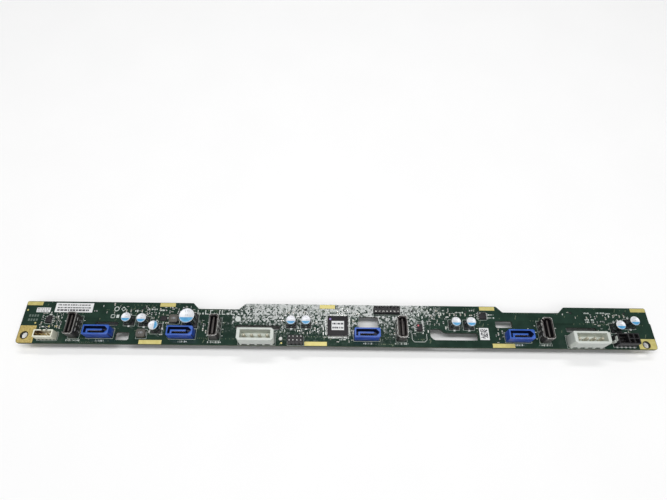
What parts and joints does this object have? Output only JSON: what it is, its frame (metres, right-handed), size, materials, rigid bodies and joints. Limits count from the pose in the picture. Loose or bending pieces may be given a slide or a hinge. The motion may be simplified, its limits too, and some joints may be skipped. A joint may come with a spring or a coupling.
{
  "type": "server drive backplane board",
  "caption": "Long narrow circuit board with mounting holes, drive receptacles below, and power, data and cable headers, capacitors and a control chip on top.",
  "frame": {"origin": "centre of the left mounting hole, on the component side of the board", "axes": "+X along the board to the right, +Y to the back edge that carries the drive receptacles, +Z out of the component side"},
  "size_m": [0.427, 0.0295, 0.0214],
  "materials": {
    "board": "dark green solder mask over glass laminate",
    "gold_plating": "pale gold plating",
    "contact_metal": "gold flashed contacts",
    "blue_plastic": "moulded, satin",
    "shell_metal": "folded bright sheet",
    "black_plastic": "moulded, satin",
    "pin_metal": "tinned",
    "white_plastic": "moulded, satin",
    "beige_plastic": "moulded, satin",
    "receptacle_plastic": "moulded, satin",
    "can_metal": "drawn can, satin",
    "lead_metal": "tinned leads",
    "chip_plastic": "moulded chip body",
    "inductor_grey": "grey pressed powder",
    "resistor_body": "glazed chip",
    "ceramic_body": "fired ceramic",
    "paper": "matt paper label"
  },
  "bodies": {
    "root": {"address_label": "paper", "aux_header": "black_plastic", "aux_header_pins": "pin_metal", "cable_port_insert_1": "black_plastic", "cable_port_insert_2": "black_plastic", "cable_port_insert_3": "black_plastic", "cable_port_insert_4": "black_plastic", "cable_port_shell_1": "shell_metal", "cable_port_shell_2": "shell_metal", "cable_port_shell_3": "shell_metal", "cable_port_shell_4": "shell_metal", "capacitor_bases": "black_plastic", "capacitor_cans": "can_metal", "capacitor_tabs": "lead_metal", "chip_capacitors": "ceramic_body", "chip_label": "paper", "chip_resistors": "resistor_body", "circuit_board": "board", "code_label": "paper", "converter_chip": "chip_plastic", "data_header_1": "blue_plastic", "data_header_2": "blue_plastic", "data_header_3": "blue_plastic", "data_header_4": "blue_plastic", "data_header_contacts": "contact_metal", "drive_receptacle_1": "receptacle_plastic", "drive_receptacle_2": "receptacle_plastic", "drive_receptacle_3": "receptacle_plastic", "drive_receptacle_4": "receptacle_plastic", "drive_receptacle_blades": "contact_metal", "edge_socket": "black_plastic", "ground_pads": "gold_plating", "inductor_1": "inductor_grey", "inductor_2": "inductor_grey", "inductor_terminals": "lead_metal", "main_chip": "chip_plastic", "main_chip_leads": "lead_metal", "pin_header_base": "black_plastic", "pin_header_pins": "pin_metal", "power_header_1": "white_plastic", "power_header_2": "white_plastic", "power_header_pins_1": "pin_metal", "power_header_pins_2": "pin_metal", "signal_header": "beige_plastic", "signal_header_pins": "pin_metal", "small_chip_1": "chip_plastic", "small_chip_2": "chip_plastic", "small_chip_3": "chip_plastic", "small_chip_leads": "lead_metal", "strip_label": "paper"}
  },
  "joints": []
}
